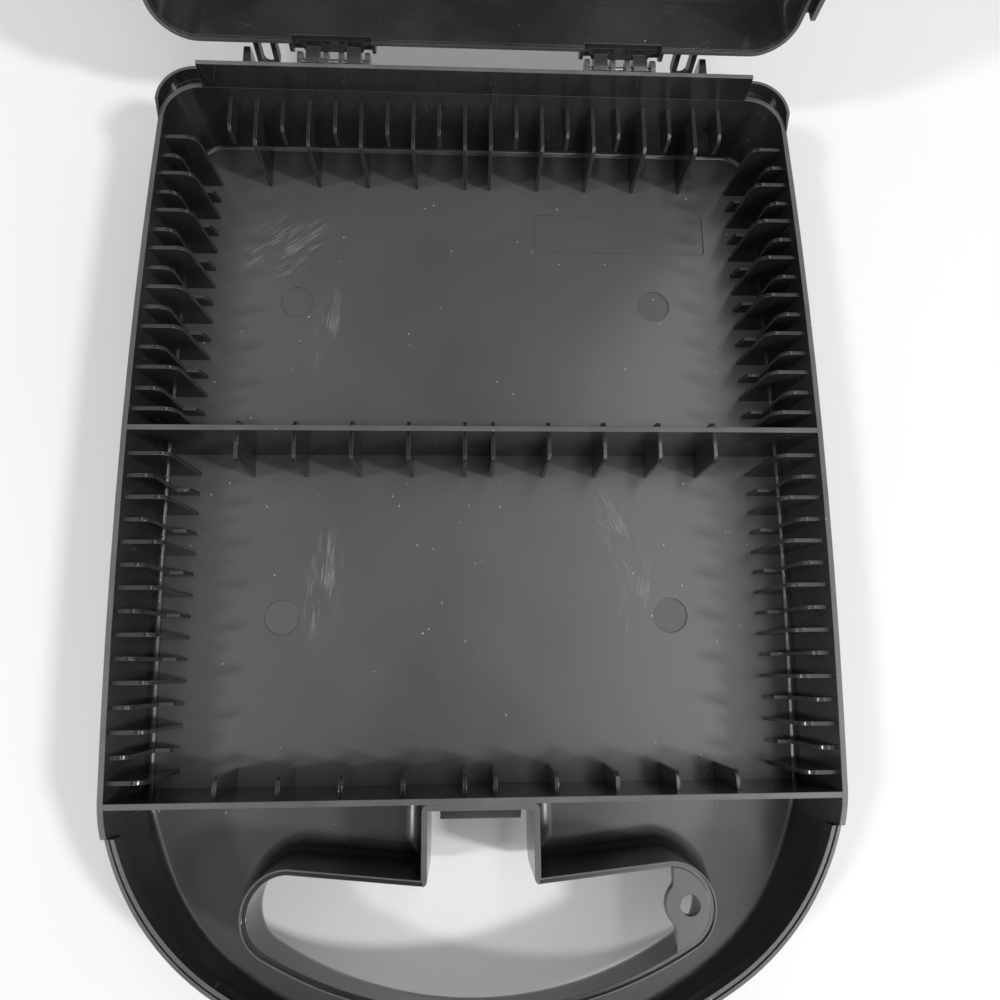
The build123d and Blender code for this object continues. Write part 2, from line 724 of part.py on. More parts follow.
# Comb ribs on the front wall, inside the compartment
with BuildPart() as front_wall_ribs:
    for rib_x in cross_rib_places(CROSS_RIB_FIRST_X):
        with BuildSketch(Plane.YZ.offset(rib_x)):
            add(cross_rib(FRONT_WALL_Y + CROSS_WALL / 2, FRONT_WALL_RIB_Y, FRONT_WALL_RIB_TOP))
        extrude(amount=RIB_THICKNESS / 2, both=True)
    add(cavity.part, mode=Mode.INTERSECT)
front_wall_ribs.part.label = "front_wall_ribs"
export_step(front_wall_ribs.part, "parts/front_wall_ribs.step")

# Ears on the tray's back wall that hold the hinge pins
ear_corner = (
    HINGE_Y + HINGE_RADIUS * sin(radians(EAR_CORNER_ANGLE)),
    RIM_Z - HINGE_RADIUS * cos(radians(EAR_CORNER_ANGLE)),
)
with BuildPart() as tray_hinge_ears:
    for hinge_x in (-HINGE_X, HINGE_X):
        for ear_x in (-OUTER_EAR_X, -INNER_EAR_X, INNER_EAR_X, OUTER_EAR_X):
            with BuildSketch(Plane.YZ.offset(hinge_x + ear_x)):
                with Locations((HINGE_Y, RIM_Z)):
                    Circle(HINGE_RADIUS)
                with BuildLine():
                    Polyline(
                        (BACK_Y - 2 * WALL, RIM_Z - EAR_BOTTOM),
                        (BACK_Y, RIM_Z - EAR_BOTTOM),
                        ear_corner,
                        (HINGE_Y, RIM_Z + HINGE_RADIUS),
                        (BACK_Y, RIM_Z - EAR_TOP),
                        (BACK_Y - 2 * WALL, RIM_Z - EAR_TOP),
                        close=True,
                    )
                make_face()
                with Locations((HINGE_Y, RIM_Z)):
                    Circle(PIN_RADIUS, mode=Mode.SUBTRACT)
            extrude(amount=EAR_THICKNESS / 2, both=True)
    add(tray_block.part, mode=Mode.SUBTRACT)
tray_hinge_ears.part.label = "tray_hinge_ears"
export_step(tray_hinge_ears.part, "parts/tray_hinge_ears.step")

# Hinge pins, and the lid's barrels that turn on them
for side_name, hinge_x in (("left", -HINGE_X), ("right", HINGE_X)):
    with BuildPart() as hinge_pin:
        with BuildSketch(Plane.YZ.offset(hinge_x)):
            with Locations((HINGE_Y, RIM_Z)):
                Circle(PIN_RADIUS)
        extrude(amount=PIN_LENGTH / 2, both=True)
    hinge_pin.part.label = f"{side_name}_hinge_pin"
    export_step(hinge_pin.part, f"parts/{side_name}_hinge_pin.step")

    with BuildPart() as hinge_leaf:
        with BuildSketch(Plane.XY.offset(RIM_Z)):
            with Locations((hinge_x, LEAF_ROOT_Y)):
                Trapezoid(
                    2 * LEAF_HALF_WIDTH,
                    LEAF_END_Y - LEAF_ROOT_Y,
                    LEAF_ANGLE,
                    align=(Align.CENTER, Align.MIN),
                )
        extrude(amount=LID_DEPTH)
        with BuildSketch(Plane.YZ.offset(hinge_x)):
            add(leaf_profile(0, LEAF_END_Y))
        extrude(amount=LEAF_HALF_WIDTH, both=True, mode=Mode.INTERSECT)

        # A web behind the leaf, and a cheek at each end of it
        with BuildSketch(Plane.YZ.offset(hinge_x)):
            add(leaf_profile(WEB_LIFT, WEB_END_Y))
        extrude(amount=CHEEK_X, both=True)
        for cheek_x in (-CHEEK_X, CHEEK_X):
            with BuildSketch(Plane.YZ.offset(hinge_x + cheek_x)) as cheek:
                with Locations((LEAF_ROOT_Y, RIM_Z + CHEEK_LOW)):
                    Rectangle(
                        LID_WALL + CHEEK_REACH,
                        CHEEK_HIGH - CHEEK_LOW,
                        align=(Align.MIN, Align.MIN),
                    )
                end_corners = cheek.vertices().sort_by(Axis.X)[-2:]
                fillet(end_corners.sort_by(Axis.Y)[:1], CHEEK_RADIUS)
            extrude(amount=CHEEK_THICKNESS / 2, both=True)

        for barrel_x in (-BARREL_X, BARREL_X):
            with BuildSketch(Plane.YZ.offset(hinge_x + barrel_x)):
                with Locations((HINGE_Y, RIM_Z)):
                    Circle(HINGE_RADIUS)
                with BuildLine():
                    Polyline(
                        (HINGE_Y, RIM_Z + HINGE_RADIUS),
                        (HINGE_Y - HINGE_RADIUS, RIM_Z),
                        (HINGE_Y - HINGE_RADIUS, RIM_Z + LEAF_TOP),
                        (LEAF_END_Y, RIM_Z + LEAF_TOP),
                        close=True,
                    )
                make_face()
                with Locations((HINGE_Y, RIM_Z)):
                    Circle(BORE_RADIUS, mode=Mode.SUBTRACT)
            extrude(amount=BARREL_LENGTH / 2, both=True)
        add(lid_block.part, mode=Mode.SUBTRACT)
    hinge_leaf.part.label = f"{side_name}_lid_hinge"
    export_step(opened(hinge_leaf.part), f"parts/{side_name}_lid_hinge.step")

# Feet on the tray's back wall
with BuildPart() as tray_feet:
    with BuildSketch(Plane.XY.offset(RIM_Z - TRAY_FOOT_LOW)):
        with BuildLine():
            Polyline(
                (TRAY_FOOT_X, BACK_Y - 2 * WALL),
                (TRAY_FOOT_X, FOOT_END_Y),
                (TRAY_FOOT_X - TRAY_FOOT_TIP, FOOT_END_Y),
                (TRAY_FOOT_X - TRAY_FOOT_ROOT, BACK_Y - 2 * WALL),
                close=True,
            )
        make_face()
        mirror(about=Plane.YZ)
    extrude(amount=TRAY_FOOT_LOW - TRAY_FOOT_HIGH)
    add(tray_block.part, mode=Mode.SUBTRACT)
    fillet(tray_feet.edges().filter_by(Axis.X).group_by(Axis.Y)[-1], TRAY_FOOT_TIP)
tray_feet.part.label = "tray_feet"
export_step(tray_feet.part, "parts/tray_feet.step")

# Lid shell, hollow down into the handle, with its rim stepped and cut away behind the hinges
with BuildPart() as lid_shell:
    add(lid_block.part)
    with BuildSketch(Plane.XY.offset(RIM_Z)):
        add(opening())
    extrude(amount=LID_DEPTH, mode=Mode.SUBTRACT)
    round_opening(lid_shell, 1)
    add(lid_cavity.part, mode=Mode.SUBTRACT)
    with BuildSketch(Plane.XY.offset(LID_Z)):
        add(lid_outline(LID_WALL - LID_RIM_STEP_WIDTH))
        add(opening(OPENING_WALL), mode=Mode.SUBTRACT)
    extrude(amount=LID_RIM_STEP_DEPTH, mode=Mode.SUBTRACT)
    with BuildSketch(Plane.XY.offset(RIM_Z)):
        with Locations((-HINGE_X, LID_BACK_Y), (HINGE_X, LID_BACK_Y)):
            Rectangle(2 * LID_NOTCH_HALF_WIDTH, 4 * LID_WALL)
    extrude(amount=LEAF_ROOT_Z, mode=Mode.SUBTRACT)

lid_panel = slice_of(lid_shell.part, NOTCH_Y, LID_BACK_Y, LID_PANEL_Z, LID_TOP_Z)
lid_panel.label = "lid_panel"
export_step(opened(lid_panel), "parts/lid_panel.step")

lid_walls = slice_of(lid_shell.part, NOTCH_Y, LID_BACK_Y, LID_Z, LID_PANEL_Z)
lid_walls.label = "lid_walls"
export_step(opened(lid_walls), "parts/lid_walls.step")

lid_handle = slice_of(lid_shell.part, FRONT_LIMIT_Y, NOTCH_Y, LID_Z, LID_TOP_Z)
lid_handle.label = "lid_handle"
export_step(opened(lid_handle), "parts/lid_handle.step")

# Skirts that hang from the lid outside the tray's rim, along both sides
with BuildPart() as lid_side_skirts:
    with BuildSketch(Plane.XY.offset(RIM_Z - SKIRT_DEPTH)):
        add(rim_strip(-SKIRT_GAP - SKIRT_THICKNESS, -SKIRT_GAP, SKIRT_FRONT_Y, SKIRT_BACK_Y))
    extrude(amount=SKIRT_DEPTH + SKIRT_TOP)
    with BuildSketch(Plane.XY.offset(LID_Z + SKIRT_GAP)):
        add(rim_strip(-SKIRT_GAP, LID_WALL, SKIRT_FRONT_Y, SKIRT_BACK_Y))
    extrude(amount=SKIRT_TOP - SKIRT_GAP - PARTING_GAP)
    add(lid_block.part, mode=Mode.SUBTRACT)
lid_side_skirts.part.label = "lid_side_skirts"
export_step(opened(lid_side_skirts.part), "parts/lid_side_skirts.step")

# Skirt that hangs from the lid around the handle, over the step in the tray's rim
with BuildPart() as lid_handle_skirt:
    with BuildSketch(Plane.XY.offset(RIM_Z - HANDLE_SKIRT_DEPTH)):
        add(
            rim_strip(
                -HANDLE_SKIRT_OUTSET, HANDLE_SKIRT_INSET, FRONT_LIMIT_Y, HANDLE_SKIRT_Y
            )
        )
    extrude(amount=HANDLE_SKIRT_DEPTH + HANDLE_SKIRT_TOP)
    add(lid_block.part, mode=Mode.SUBTRACT)
lid_handle_skirt.part.label = "lid_handle_skirt"
export_step(opened(lid_handle_skirt.part), "parts/lid_handle_skirt.step")

# Feet on the lid's back wall, each a loop of wall that is open on top
with BuildPart() as lid_feet:
    for foot_x in (-LID_FOOT_X, LID_FOOT_X):
        with BuildSketch(Plane.XY.offset(RIM_Z + LID_FOOT_LOW)):
            with Locations((foot_x, LEAF_ROOT_Y)):
                Rectangle(
                    LID_FOOT_WIDTH,
                    FOOT_END_Y - LEAF_ROOT_Y - LID_FOOT_WIDTH / 2,
                    align=(Align.CENTER, Align.MIN),
                )
            with Locations((foot_x, FOOT_END_Y - LID_FOOT_WIDTH / 2)):
                Circle(LID_FOOT_WIDTH / 2)
            offset(amount=-LID_FOOT_WALL, mode=Mode.SUBTRACT)
        extrude(amount=LID_FOOT_HIGH - LID_FOOT_LOW)
    add(lid_block.part, mode=Mode.SUBTRACT)
lid_feet.part.label = "lid_feet"
export_step(opened(lid_feet.part), "parts/lid_feet.step")


def padlock_tab():
    """The flat tab across the right end of the handle opening, with its hole, at z = 0."""
    hole_place = (TAB_HOLE_X, TAB_HOLE_Y)
    with BuildSketch(mode=Mode.PRIVATE) as sketch:
        with Locations((TAB_EDGE_X, TAB_HOLE_Y)):
            Rectangle(MARGIN, 2 * MARGIN, align=(Align.MIN, Align.CENTER))
        with Locations(hole_place):
            Circle(TAB_LOBE_RADIUS)
        fillet(sketch.vertices().sort_by_distance(hole_place)[:2], TAB_NECK_RADIUS)
        with Locations(hole_place):
            Circle(TAB_HOLE_RADIUS, mode=Mode.SUBTRACT)
    return sketch.sketch


# Padlock tabs, one on the tray and one on the lid, that meet when the case is closed
with BuildPart() as tray_padlock_tab:
    with BuildSketch(Plane.XY.offset(RIM_Z - TAB_GAP)):
        add(padlock_tab())
        add(opening(), mode=Mode.INTERSECT)
    extrude(amount=-TAB_THICKNESS)
tray_padlock_tab.part.label = "tray_padlock_tab"
export_step(tray_padlock_tab.part, "parts/tray_padlock_tab.step")

with BuildPart() as lid_padlock_tab:
    with BuildSketch(Plane.XY.offset(LID_Z + TAB_GAP)):
        add(padlock_tab())
        add(opening(), mode=Mode.INTERSECT)
    extrude(amount=TAB_THICKNESS)
lid_padlock_tab.part.label = "lid_padlock_tab"
export_step(opened(lid_padlock_tab.part), "parts/lid_padlock_tab.step")

# Keeper ledge on the rear wall of the tray's notch, which the latch hooks under
with BuildPart() as latch_keeper:
    with BuildSketch(Plane.YZ):
        with BuildLine():
            Polyline(
                (NOTCH_Y, RIM_Z + KEEPER_LOW),
                (NOTCH_Y, RIM_Z + KEEPER_HIGH + KEEPER_REACH),
                (NOTCH_Y - KEEPER_REACH, RIM_Z + KEEPER_HIGH),
                (NOTCH_Y - KEEPER_REACH, RIM_Z + KEEPER_LOW + KEEPER_CHAMFER),
                (NOTCH_Y - KEEPER_REACH + KEEPER_CHAMFER, RIM_Z + KEEPER_LOW),
                close=True,
            )
        make_face()
    extrude(amount=KEEPER_HALF_WIDTH, both=True)
latch_keeper.part.label = "latch_keeper"
export_step(latch_keeper.part, "parts/latch_keeper.step")

# Lugs on the side walls of the lid's notch that hold the latch pin
with BuildPart() as latch_lugs:
    for side in (-1, 1):
        with BuildSketch(Plane.YZ.offset(side * NOTCH_HALF_WIDTH)):
            with Locations((LATCH_Y, LATCH_AXIS_Z)):
                Circle(LUG_RADIUS)
                Circle(PIN_RADIUS, mode=Mode.SUBTRACT)
        extrude(amount=-side * (NOTCH_HALF_WIDTH - LUG_FACE_X))
latch_lugs.part.label = "latch_lugs"
export_step(opened(latch_lugs.part), "parts/latch_lugs.step")

with BuildPart() as latch_pin:
    with BuildSketch(Plane.YZ):
        with Locations((LATCH_Y, LATCH_AXIS_Z)):
            Circle(PIN_RADIUS)
    extrude(amount=NOTCH_HALF_WIDTH, both=True)
latch_pin.part.label = "latch_pin"
export_step(opened(latch_pin.part), "parts/latch_pin.step")

# Latch: a knuckle on the pin, a plate that hangs from it, a hook and a grip at its foot
with BuildPart() as latch:
    plate_face_y = LATCH_Y - LATCH_KNUCKLE_RADIUS
    hook_top_z = RIM_Z + LATCH_HOOK_Z
    with BuildSketch(Plane.YZ):
        with BuildLine():
            Polyline(
                (plate_face_y, LATCH_AXIS_Z),
                (plate_face_y, hook_top_z),
                (plate_face_y - LATCH_GRIP_REACH, hook_top_z - LATCH_HOOK_THICKNESS / 2),
                (plate_face_y - LATCH_GRIP_REACH, hook_top_z - LATCH_HOOK_THICKNESS),
                (LATCH_HOOK_Y - LATCH_HOOK_THICKNESS, hook_top_z - LATCH_HOOK_THICKNESS),
                (LATCH_HOOK_Y, hook_top_z - LATCH_HOOK_THICKNESS / 2),
                (LATCH_HOOK_Y, hook_top_z),
                (plate_face_y + LATCH_THICKNESS, hook_top_z),
                (plate_face_y + LATCH_THICKNESS, LATCH_AXIS_Z),
                close=True,
            )
        make_face()
        with Locations((LATCH_Y, LATCH_AXIS_Z)):
            Circle(LATCH_KNUCKLE_RADIUS)
            Circle(BORE_RADIUS, mode=Mode.SUBTRACT)
    extrude(amount=LATCH_HALF_WIDTH, both=True)
    fillet(latch.edges().filter_by(Axis.X).group_by(Axis.Y)[0], LATCH_HOOK_THICKNESS / 4)
latch_out = latch.part.rotate(LATCH_AXIS, -LATCH_SWING)
latch_out.label = "latch"
export_step(opened(latch_out), "parts/latch.step")
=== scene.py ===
import json
import math

import bpy
from mathutils import Matrix, Vector

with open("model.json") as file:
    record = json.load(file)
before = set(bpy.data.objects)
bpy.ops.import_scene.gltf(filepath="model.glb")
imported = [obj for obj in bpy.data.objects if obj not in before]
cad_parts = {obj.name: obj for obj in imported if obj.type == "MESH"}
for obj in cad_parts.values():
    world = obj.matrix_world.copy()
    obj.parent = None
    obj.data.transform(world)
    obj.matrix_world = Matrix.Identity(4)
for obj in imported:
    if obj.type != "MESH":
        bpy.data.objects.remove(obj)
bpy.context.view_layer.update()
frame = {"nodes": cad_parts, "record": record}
nodes = frame["nodes"]
record = frame["record"]
scene = bpy.context.scene
MM = 0.001

# Camera: where the photograph was taken from and what it looks at, in millimetres, and its roll
# in degrees. The clip distances are in metres.
CAMERA_PLACE = Vector((-5.214, -75.726, 272.114))
CAMERA_AIM = Vector((6.428, -23.677, 32.006))
CAMERA_ROLL = 0.547
IMAGE_SIZE = 1000
FOCAL_LENGTH_PX = 774.65
SENSOR_WIDTH = 36.0
CLIP_START = 0.005
CLIP_END = 20.0

# Colours, as linear red, green and blue
BLACK_PLASTIC = (0.0165, 0.0150, 0.0172)
DUSTY_PLASTIC = (0.050, 0.047, 0.048)
TEXTURED_PLASTIC = (0.086, 0.082, 0.084)
PALE_STREAK_AND_SHEEN = (0.26, 0.25, 0.25)
# Pale grey for real wear and scratches, and for the painted highlights on rims and edges
WORN_AND_HIGHLIT_PLASTIC = (0.16, 0.15, 0.155)
DUST = (0.45, 0.43, 0.41)
STEEL = (0.55, 0.55, 0.56)
STEEL_DARK = (0.36, 0.35, 0.34)
TABLE = (0.82, 0.83, 0.82)
TABLE_SHADE = (0.78, 0.79, 0.78)

# Plastic's own gloss: the roughness differs between the clouds, from the first value to the second
PLASTIC_IOR = 1.58
PLASTIC_ROUGHNESS = (0.14, 0.22)

# The rim of each half, in millimetres: a point in its plane and the way that it faces
HINGE_POINT = Vector((0.0, 136.5, 32.0))
OPEN_ANGLE = math.radians(98.0)
LID_FACING = Vector((0.0, -math.sin(OPEN_ANGLE), -math.cos(OPEN_ANGLE)))
RIM_FACINGS = {"tray": Vector((0.0, 0.0, 1.0)), "lid": LID_FACING, "latch": LID_FACING}

# Noise over the plastic: cycles per metre and detail, and the roughness where it isn't the usual
CLOUDS = (14.0, 5.0, 0.6)
BLOTCHES = (70.0, 5.0, 0.65)
GRAIN = (2600.0, 2.0)
RIPPLE = (55.0, 2.0)

# The values of the clouds or the blotches between which a layer comes in
GLOSS_CLOUDS = (0.3, 0.7)
FILM_CLOUDS = (0.40, 0.70)
TEXTURE_CLOUDS = (0.25, 0.75)
WEAR_BLOTCHES = (0.3, 0.7)
SCRATCH_BLOTCHES = (0.48, 0.64)
RIM_BLOTCHES = (0.35, 0.6)

# How patchy the blotches make what is worn and the painted highlights on rims and edges: the
# weakest and the strongest
WEAR_PATCHES = (0.6, 1.2)
RIM_PATCHES = (0.7, 1.1)
EDGE_PATCHES = (0.35, 1.0)

# Bands of height over the rim's plane, in millimetres: where a layer starts and where it is full
RIM_BAND = (-0.25, -0.15)
LIP_BAND = (2.0, 12.0)
TEXTURE_BAND = (-10.0, -15.0)
EDGE_BAND = (-29.0, -28.0)
FLOOR_BAND = (-27.0, -29.0)

# Slopes, as the cosine of an angle: where a layer starts and where it is full
RIM_SLOPE = (0.90, 0.97)
TEXTURE_SLOPE = (0.6, 0.95)
DUST_SLOPE = (0.5, 0.9)
EDGE_TURN = (0.995, 0.90)

# Edges are found by rounding them with this radius, in millimetres
EDGE_RADIUS = 0.3
EDGE_SAMPLES = 6

# How much of the colour below each layer hides, and how much it adds to the roughness
FILM_COVER = 0.8
TEXTURE_COVER = (0.75, 1.0)
TEXTURE_ROUGHNESS = 0.12
SCRATCH_COVER = 0.35
SCRATCH_ROUGHNESS = 0.2
RIM_COVER = 0.45
LIP_COVER = 0.9
RIM_ROUGHNESS = 0.25
EDGE_COVER = 0.6
STREAK_COVER = 0.6
STREAK_ROUGHNESS = 0.25
EJECTOR_COVER = 0.25
EJECTOR_ROUGHNESS = 0.16
DUST_COVER = 0.8
DUST_ROUGHNESS = 0.3

# Fine scratches: direction in degrees, length and width in metres, and the share that they take
SCRATCHES = [(35, 0.03, 0.00045, 0.30), (-20, 0.022, 0.0004, 0.29)]
SCRATCH_SOFTNESS = 0.03

# Dust: cells per metre, the random value from which a cell has a speck, and how far from the
# cell's own point the speck fades in
DUST_CELLS = 210.0
DUST_VALUE = (0.62, 0.63)
SPECK_SIZE = (0.085, 0.04)

# Relief of the plastic's skin: strength, and depth in millimetres
GRAIN_RELIEF = (0.18, 0.03)
RIPPLE_RELIEF = (0.25, 0.5)

# What is rubbed paler all over, and how much
RUBBED_NODES = ["left_lid_hinge", "right_lid_hinge", "tray_hinge_ears", "lid_feet", "tray_feet"]
HINGE_WEAR = 0.2

# Ejector marks on the tray's floor, in millimetres
EJECTOR_PLACES = [(-67.0, 58.3), (67.0, 58.3), (-67.0, -58.3), (67.0, -58.3)]
EJECTOR_HEIGHT = 2.0
EJECTOR_RADIUS = 6.0
EJECTOR_SOFTNESS = 0.3

# Patches of pale streaks on the tray's floor, scuffs mixed with a painted sheen where the floor
# catches the side lights, in
# millimetres and degrees: the centre, the half sizes across and along the streaks, and their
# direction
STREAKS = [
    ((-73.0, 80.0), (16.0, 24.0), 35.0),
    ((-55.4, 47.0), (7.0, 20.0), 82.0),
    ((-53.5, -48.0), (8.5, 26.0), 86.0),
    ((50.0, -30.0), (9.0, 22.0), 112.0),
    ((56.0, -52.0), (8.0, 18.0), 78.0),
]
# How far a patch reaches up and down, in millimetres, and where it fades in from its edge
STREAK_REACH = 20.0
STREAK_FADE = (1.0, 0.25)
# The streaks' own pattern: sizes along, across and up in metres, and the noise that shows
FINE_STREAK = (0.011, 0.0008, 0.011)
FINE_STREAK_NOISE = (0.56, 0.68)
BROAD_STREAK = (0.016, 0.004, 0.016)
BROAD_STREAK_NOISE = (0.54, 0.74)
BROAD_STREAK_SHARE = 0.8

# Drawn steel: the size of its rings in metres, their noise, relief and roughness
STEEL_RINGS = (0.0002, 0.003, 0.003)
RING_NOISE = (0.3, 0.7)
RING_RELIEF = (0.2, 0.02)
STEEL_ROUGHNESS = (0.25, 0.45)

# The table's half size and its height, in metres, just below the case's underside
TABLE_HALF_SIZE = 3.0
TABLE_HEIGHT = -0.0002
TABLE_ROUGHNESS = 0.6
# Its patterns: cycles per metre, the noise between its two colours, and its relief
TABLE_SHADE_SCALE = 3.0
TABLE_SHADE_NOISE = (0.3, 0.7)
TABLE_GRAIN_SCALE = 500.0
TABLE_RELIEF = (0.1, 0.1)

# The room's two bright strips, as slopes X / Z: where the inner and the outer edge begin and end,
# the brightness between them, and the share of it that is left beyond the outer edge
LEFT_STRIP = ((-0.12, -0.28), (-0.9, -0.5), 0.6, 0.3)
RIGHT_STRIP = ((0.12, 0.29), (0.40, 0.33), 4.2, 0.06)
# Below this height the strips run straight on
LOWEST_HEIGHT = 0.05
# The room's front: where it gets brighter along Y, and its brightness behind and in front of that
FRONT_EDGE = (-0.35, -0.8)
FRONT_BRIGHTNESS = (0.10, 0.4)

# Lamps, all aimed at the origin: name, place and size in metres, and power in watts
LAMPS = [
    ("key_lamp", (1.56, -0.56, 1.72), (0.2, 0.3), 28.0),
    ("left_lamp", (-1.5, -0.36, 1.8), (0.2, 0.3), 15.0),
]


def place_camera():
    """Put the camera where the photograph was taken from."""
    data = bpy.data.cameras.new("camera")
    data.sensor_width = SENSOR_WIDTH
    data.lens = FOCAL_LENGTH_PX / IMAGE_SIZE * SENSOR_WIDTH
    data.clip_start = CLIP_START
    data.clip_end = CLIP_END
    camera = bpy.data.objects.new("camera", data)
    forward = (CAMERA_AIM - CAMERA_PLACE).normalized()
    right = forward.cross(Vector((0, 1, 0))).normalized()
    up = right.cross(forward)
    roll = Matrix.Rotation(math.radians(CAMERA_ROLL), 3, forward)
    turn = roll @ Matrix((right, up, -forward)).transposed()
    camera.matrix_world = Matrix.Translation(CAMERA_PLACE * MM) @ turn.to_4x4()
    scene.collection.objects.link(camera)
    scene.camera = camera


class Nodes:
    """A node tree that is built up one node at a time."""

    def __init__(self, tree):
        self.tree = tree

    def node(self, kind, inputs=None, **settings):
        made = self.tree.nodes.new("ShaderNode" + kind)
        for key, value in settings.items():
            setattr(made, key, value)
        for key, value in (inputs or {}).items():
            self.put(value, made.inputs[key])
        return made

    def put(self, value, socket):
        """Link a socket to the socket, or set its value."""
        if isinstance(value, bpy.types.NodeSocket):
            self.tree.links.new(value, socket)
        elif isinstance(value, tuple) and len(value) == 3 and socket.type == "RGBA":
            socket.default_value = (*value, 1.0)
        else:
            socket.default_value = value

    def math(self, operation, *values, clamp=False):
        inputs = dict(enumerate(values))
        return self.node("Math", inputs, operation=operation, use_clamp=clamp).outputs[0]

    def times(self, *values):
        product = values[0]
        for value in values[1:]:
            product = self.math("MULTIPLY", product, value)
        return product

    def most(self, *values):
        largest = values[0]
        for value in values[1:]:
            largest = self.math("MAXIMUM", largest, value)
        return largest

    def dot(self, first, second):
        made = self.node("VectorMath", {0: first, 1: second}, operation="DOT_PRODUCT")
        return made.outputs["Value"]

    def ramp(self, value, low, high, to_low=0.0, to_high=1.0, smooth=False):
        inputs = {"Value": value, 1: low, 2: high, 3: to_low, 4: to_high}
        kind = "SMOOTHSTEP" if smooth else "LINEAR"
        made = self.node("MapRange", inputs, clamp=True, interpolation_type=kind)
        return made.outputs["Result"]


class Shader(Nodes):
    """A node material around one principled surface, which can be built up layer by layer."""

    def __init__(self, name):
        self.material = bpy.data.materials.new(name)
        self.material.use_nodes = True
        super().__init__(self.material.node_tree)
        self.surface = self.tree.nodes["Principled BSDF"]
        self.coordinate = self.node("TexCoord")
        self.colour = None
        self.roughness = None

    def coordinates(self, size=(1, 1, 1), turn=0.0, place=(0, 0, 0)):
        """Object coordinates seen from a place, turned about Z, in units of size."""
        inputs = {
            "Vector": self.coordinate.outputs["Object"],
            "Location": place,
            "Rotation": (0, 0, math.radians(turn)),
            "Scale": size,
        }
        return self.node("Mapping", inputs, vector_type="TEXTURE").outputs["Vector"]

    def noise(self, scale, detail=3.0, roughness=0.55, vector=None):
        inputs = {"Scale": scale, "Detail": detail, "Roughness": roughness}
        inputs["Vector"] = vector or self.coordinates()
        return self.node("TexNoise", inputs).outputs["Fac"]

    def distance(self, vector):
        return self.node("VectorMath", {0: vector}, operation="LENGTH").outputs["Value"]

    def mix(self, factor, first, second):
        made = self.node("Mix", data_type="RGBA")
        self.put(factor, made.inputs[0])
        self.put(first, made.inputs[6])
        self.put(second, made.inputs[7])
        return made.outputs[2]

    def bump(self, height, strength, distance, normal=None):
        """Relief with a depth in millimetres."""
        inputs = {"Strength": strength, "Distance": distance * MM, "Height": height}
        if normal:
            inputs["Normal"] = normal
        return self.node("Bump", inputs).outputs[0]

    def set(self, name, value):
        self.put(value, self.surface.inputs[name])

    def add_layer(self, mask, colour, cover=1.0, roughness=0.0):
        """Lay a colour over the part in the mask, and make that part rougher."""
        self.colour = self.mix(self.times(mask, cover), self.colour, colour)
        if roughness:
            added = self.times(mask, roughness)
            self.roughness = self.math("ADD", self.roughness, added, clamp=True)


def scratches(shader, angle, length, width, share):
    """Fine straight scratches in one direction, as a mask."""
    stretched = shader.coordinates(size=(length, width, length), turn=angle)
    lines = shader.noise(1.0, detail=1.0, vector=stretched)
    return shader.ramp(lines, 1 - share, 1 - share + SCRATCH_SOFTNESS)


def pale_streaks_and_sheen(shader, centre, size, direction):
    """A patch of pale streaks on the floor, scuffs mixed with a painted sheen, fading out towards
    its edge.
    """
    place = (centre[0] * MM, centre[1] * MM, 0.0)
    extent = (size[1] * MM, size[0] * MM, STREAK_REACH * MM)
    patch = shader.coordinates(extent, direction, place)
    fade = shader.ramp(shader.distance(patch), *STREAK_FADE, smooth=True)
    fine = shader.coordinates(FINE_STREAK, direction, place)
    broad = shader.coordinates(BROAD_STREAK, direction, place)
    fine_noise = shader.noise(1.0, detail=2.0, vector=fine)
    broad_noise = shader.noise(1.0, detail=4.0, vector=broad)
    streaks = shader.most(
        shader.ramp(fine_noise, *FINE_STREAK_NOISE),
        shader.ramp(broad_noise, *BROAD_STREAK_NOISE, 0.0, BROAD_STREAK_SHARE),
    )
    return shader.times(fade, streaks)


def ejector_discs(shader):
    """The round ejector marks in the floor, as a mask."""
    discs = []
    for x, y in EJECTOR_PLACES:
        centred = shader.coordinates(place=(x * MM, y * MM, EJECTOR_HEIGHT * MM))
        inside = (EJECTOR_RADIUS - EJECTOR_SOFTNESS) * MM
        discs.append(shader.ramp(shader.distance(centred), EJECTOR_RADIUS * MM, inside))
    return shader.most(*discs)


def highlit_and_worn_edges(shader, rounded):
    """The sharp edges, where the rounded normal turns away from the face's own, as a mask: where a
    pale painted highlight goes, along with some wear.
    """
    own = shader.node("NewGeometry").outputs["Normal"]
    return shader.ramp(shader.dot(rounded, own), *EDGE_TURN)


def dust_specks(shader):
    """Small specks on the faces that look up, as a mask."""
    inputs = {"Vector": shader.coordinates(), "Scale": DUST_CELLS}
    cells = shader.node("TexVoronoi", inputs, feature="F1")
    upwards = shader.dot(shader.coordinate.outputs["Normal"], (0.0, 0.0, 1.0))
    return shader.times(
        shader.ramp(cells.outputs["Color"], *DUST_VALUE),
        shader.ramp(cells.outputs["Distance"], *SPECK_SIZE),
        shader.ramp(upwards, *DUST_SLOPE),
    )


